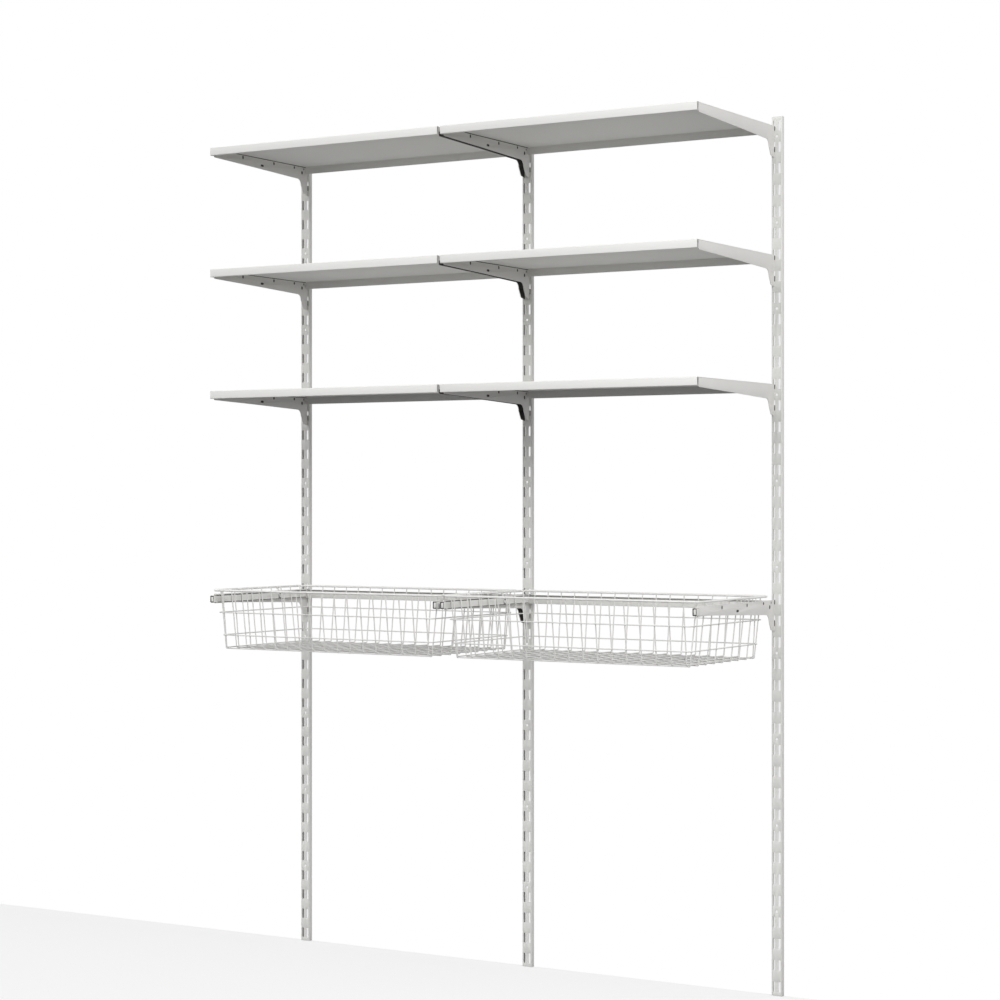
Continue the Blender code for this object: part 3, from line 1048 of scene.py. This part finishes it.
def makeBasket(s):
    rimZ = s["rimAbove"]
    crossZ = rimZ + s["rim"] - s["height"] + s["wire"]
    longZ = crossZ + 2 * s["wire"] + unit["gap"]
    upperZ = rimZ - s["upperDrop"]
    lowerZ = rimZ - s["lowerDrop"]
    topZ = rimZ - s["rim"] + s["weld"]
    beside = 2 * s["wire"] - s["weld"]
    foot = s["bend"] + s["foot"]
    middleY = -(s["frontBottom"] + s["backBottom"]) / 2
    firstX = -(s["long"] - 1) / 2 * s["longPitch"]
    firstY = middleY - (s["cross"] - 1) / 2 * s["crossPitch"]

    def between(start, end, share):
        return start + (end - start) * share

    def endWall(z, top, bottom):
        return between(top, bottom, (rimZ - z) / (rimZ - longZ - s["bend"]))

    def sideWall(z):
        return between(s["wallTop"], s["wallBottom"], (rimZ - z) / (rimZ - crossZ - s["bend"]))

    def loop(half, front, back, z, corner, steps):
        line = [(half, -front, z), (half, -back, z), (-half, -back, z), (-half, -front, z)]
        return roundCorners(line, corner, steps, True)

    def bent(line, corner=s["bend"]):
        return bendWire("wire", roundCorners(line, corner, s["bendSteps"]), s["wire"], s["wireEdges"])

    made = {}
    line = loop(s["rimHalf"], s["rimFront"], s["rimBack"], rimZ, s["rimCorner"], s["rimSteps"])
    made["rim"] = bendWire("rim", line, s["rim"], s["rimEdges"], True)

    half = sideWall(lowerZ) + beside
    front = endWall(lowerZ, s["rimFront"], s["frontBottom"]) + beside
    back = endWall(lowerZ, s["rimBack"], s["backBottom"]) - beside
    line = loop(half, front, back, lowerZ, s["ringCorner"], s["bendSteps"])
    made["lower_ring"] = bendWire("ring", line, s["wire"], s["wireEdges"], True)

    half = sideWall(upperZ) + beside
    walls = {
        "front": (-1, s["rimFront"], s["frontBottom"]),
        "rear": (1, s["rimBack"], s["backBottom"]),
    }
    for word, (way, top, bottom) in walls.items():
        wire = bent([
            (firstX, -endWall(topZ, top, bottom), topZ),
            (firstX, -bottom, longZ),
            (firstX, -bottom - way * foot, longZ),
        ])
        repeat(wire, s["long"], (s["longPitch"], 0, 0))
        y = -endWall(upperZ, top, bottom) + way * beside
        endY = y - way * s["ringCorner"]
        line = [(half, endY, upperZ), (half, y, upperZ), (-half, y, upperZ), (-half, endY, upperZ)]
        ring = bent(line, s["ringCorner"] * s["ringArc"])
        made[word + "_wires"] = joinPieces(word, [wire, ring])

    start = -endWall(upperZ, s["rimFront"], s["frontBottom"]) - beside + s["ringCorner"]
    end = -endWall(upperZ, s["rimBack"], s["backBottom"]) + beside - s["ringCorner"]
    for word, way in sides.items():
        wire = bent([
            (way * (s["rimHalf"] - s["rim"] + s["weld"]), firstY, rimZ),
            (way * s["wallTop"], firstY, rimZ),
            (way * s["wallBottom"], firstY, crossZ),
            (way * (s["wallBottom"] - foot), firstY, crossZ),
        ])
        repeat(wire, s["cross"], (0, s["crossPitch"], 0))
        ring = bent([(way * half, start, upperZ), (way * half, end, upperZ)])
        made[word + "_wires"] = joinPieces(word, [wire, ring])

    wire = bent([
        (firstX, -s["frontBottom"] + s["bend"], longZ),
        (firstX, -s["backBottom"] - s["bend"], longZ),
    ])
    repeat(wire, s["long"], (s["longPitch"], 0, 0))
    made["long_floor_wires"] = wire
    reach = s["wallBottom"] - s["bend"]
    height = crossZ + s["floorWeld"]
    wire = bent([(-reach, firstY, height), (reach, firstY, height)])
    repeat(wire, s["cross"], (0, s["crossPitch"], 0))
    made["cross_floor_wires"] = wire
    for piece in made.values():
        smooth(piece, s["smoothAngle"])
    return made


basketModel = makeBasket(basket)
for bay, bayWay in bays.items():
    for word, model in basketModel.items():
        move = (bayWay * unit["bayPitch"] / 2, 0, bracketTop(levels["basket"]))
        twin = copyPiece(model, word, move)
        finish = rimCoat if word == "rim" else shadedWireCoat
        rideAndReplace(twin, f"{bay}_basket_{word}", bay + "_basket", finish)
for model in basketModel.values():
    bpy.data.objects.remove(model)
print("baskets welded")


# Studio: a pale floor, a white wall, a bright soft sky over the camera and one weak lamp

studio = {
    "size": 14,
    "floorDrop": 0.0005,
    "wallBack": 0.0005,
    "stripBack": 0.0003,
    "stripEnds": 0.002,
    "floorTone": 0.13,
    "floorPaint": 0.45,
    "floorGlow": 0.50,
    "wallLight": 0.45,
    # Painted shade behind and inside the uprights, and a painted glow inside the right one
    "seenShadeBehindUprights": 0.85,
    "shadeGlowInsideUprights": {"left": 0.14, "middle": 0.10, "right": 0.75},
    "sky": {0.47: 0.15, 0.53: 2.00, 1: 0.70},
    "lampPower": 80,
    "lampSize": 2.4,
    "lampPlace": (4.2, -3.2, 1.4),
    "lampAim": (0, -0.2, -0.9),
}


def seenOrLit(tree, seen, lit):
    # seen is for the camera, straight or in a reflection, and lit is what lights the object
    path = tree.nodes.new("ShaderNodeLightPath")
    share = path.outputs["Is Camera Ray"]
    for word in ("Is Glossy Ray", "Is Transmission Ray"):
        either = tree.nodes.new("ShaderNodeMath")
        either.operation = "MAXIMUM"
        tree.links.new(share, either.inputs[0])
        tree.links.new(path.outputs[word], either.inputs[1])
        share = either.outputs["Value"]
    mix = tree.nodes.new("ShaderNodeMixShader")
    tree.links.new(share, mix.inputs["Fac"])
    tree.links.new(lit, mix.inputs[1])
    tree.links.new(seen, mix.inputs[2])
    return mix.outputs["Shader"]


def glow(tree, strength):
    light = tree.nodes.new("ShaderNodeEmission")
    light.inputs["Strength"].default_value = strength
    return light.outputs["Emission"]


def plainPaint(tree, tone):
    paint = tree.nodes.new("ShaderNodeBsdfDiffuse")
    paint.inputs["Color"].default_value = (tone, tone, tone, 1)
    return paint.outputs["BSDF"]


def addStage(name, middle, width, height, turn):
    clearSelection()
    bpy.ops.mesh.primitive_plane_add(size=1, location=middle, rotation=turn)
    sheet = bpy.context.object
    sheet.name = name
    sheet.scale = (width, height, 1)
    settle(sheet)
    paint = bpy.data.materials.new(name + "_paint")
    paint.use_nodes = True
    paint.node_tree.nodes.remove(paint.node_tree.nodes["Principled BSDF"])
    sheet.data.materials.append(paint)
    return paint.node_tree


def makeSky(s):
    world = bpy.data.worlds.new("white_room")
    world.use_nodes = True
    bpy.context.scene.world = world
    tree = world.node_tree
    light = tree.nodes["Background"]
    place = tree.nodes.new("ShaderNodeTexCoord")
    split = tree.nodes.new("ShaderNodeSeparateXYZ")
    tree.links.new(place.outputs["Generated"], split.inputs["Vector"])
    height = tree.nodes.new("ShaderNodeMapRange")
    height.inputs["From Min"].default_value = -1
    height.inputs["From Max"].default_value = 1
    tree.links.new(split.outputs["Z"], height.inputs["Value"])
    ramp = tree.nodes.new("ShaderNodeValToRGB")
    steps = ramp.color_ramp.elements
    steps.new(0.5)
    for step, (position, level) in zip(steps, s["sky"].items()):  # the horizon is at a half
        step.position = position
        step.color = (level, level, level, 1)
    tree.links.new(height.outputs["Result"], ramp.inputs["Fac"])
    tree.links.new(ramp.outputs["Color"], light.inputs["Color"])
    white = tree.nodes.new("ShaderNodeBackground")
    white.inputs["Color"].default_value = (1, 1, 1, 1)
    both = seenOrLit(tree, white.outputs["Background"], light.outputs["Background"])
    tree.links.new(both, tree.nodes["World Output"].inputs["Surface"])


def showFront(tree, shader):
    # From behind the sheet is clear, for the other views
    face = tree.nodes.new("ShaderNodeNewGeometry")
    clear = tree.nodes.new("ShaderNodeBsdfTransparent")
    mix = tree.nodes.new("ShaderNodeMixShader")
    tree.links.new(face.outputs["Backfacing"], mix.inputs["Fac"])
    tree.links.new(shader, mix.inputs[1])
    tree.links.new(clear.outputs["BSDF"], mix.inputs[2])
    tree.links.new(mix.outputs["Shader"], tree.nodes["Material Output"].inputs["Surface"])


def makeFloor(s):
    middle = (0, 0, unit["bottom"] - s["floorDrop"])
    tree = addStage("studio_floor", middle, s["size"], s["size"], (0, 0, 0))
    pale = tree.nodes.new("ShaderNodeAddShader")
    tree.links.new(plainPaint(tree, s["floorPaint"]), pale.inputs[0])
    tree.links.new(glow(tree, s["floorGlow"]), pale.inputs[1])
    showFront(tree, seenOrLit(tree, pale.outputs["Shader"], plainPaint(tree, s["floorTone"])))


def makeBackdrop(name, middle, width, height, seen, lit):
    tree = addStage(name, middle, width, height, (math.pi / 2, 0, 0))
    showFront(tree, seenOrLit(tree, glow(tree, seen), glow(tree, lit)))


def makeLamp(s):
    clearSelection()
    bpy.ops.object.light_add(type="AREA", location=s["lampPlace"])
    lamp = bpy.context.object
    lamp.name = "soft_lamp"
    lamp.data.shape = "DISK"
    lamp.data.size = s["lampSize"]
    lamp.data.energy = s["lampPower"]
    aim = Vector(s["lampAim"]) - Vector(s["lampPlace"])
    lamp.rotation_euler = aim.to_track_quat("-Z", "Y").to_euler()


makeSky(studio)
makeFloor(studio)
wallMiddle = (0, studio["wallBack"], 0)
makeBackdrop("studio_wall", wallMiddle, studio["size"], studio["size"], 1, studio["wallLight"])
for word, place in uprightPlaces.items():  # strips of painted shade on the wall inside the uprights, darker when seen, glowing dimly for the inside of the channels and brightly at the right upright
    middle = (place * unit["bayPitch"], studio["stripBack"], (unit["top"] + unit["bottom"]) / 2)
    width = upright["width"] - 2 * upright["sheet"]
    height = unit["top"] - unit["bottom"] - studio["stripEnds"]
    lit = studio["shadeGlowInsideUprights"][word]
    makeBackdrop("studio_wall_painted_shade_strip_" + word, middle, width, height, studio["seenShadeBehindUprights"], lit)
makeLamp(studio)

photoView = {
    "place": (2.8718, -4.8746, -0.8108),
    "turn": 0.54474,
    "lens": 85.83,
    "sensor": 36,
    "reach": 50,
}
clearSelection()
bpy.ops.object.camera_add(location=photoView["place"], rotation=(math.pi / 2, 0, photoView["turn"]))
camera = bpy.context.object
camera.name = "photo_camera"
camera.data.lens = photoView["lens"]
camera.data.sensor_width = photoView["sensor"]
camera.data.clip_end = photoView["reach"]
bpy.context.scene.camera = camera
bpy.context.scene.view_settings.view_transform = "Standard"
print("studio and camera set")
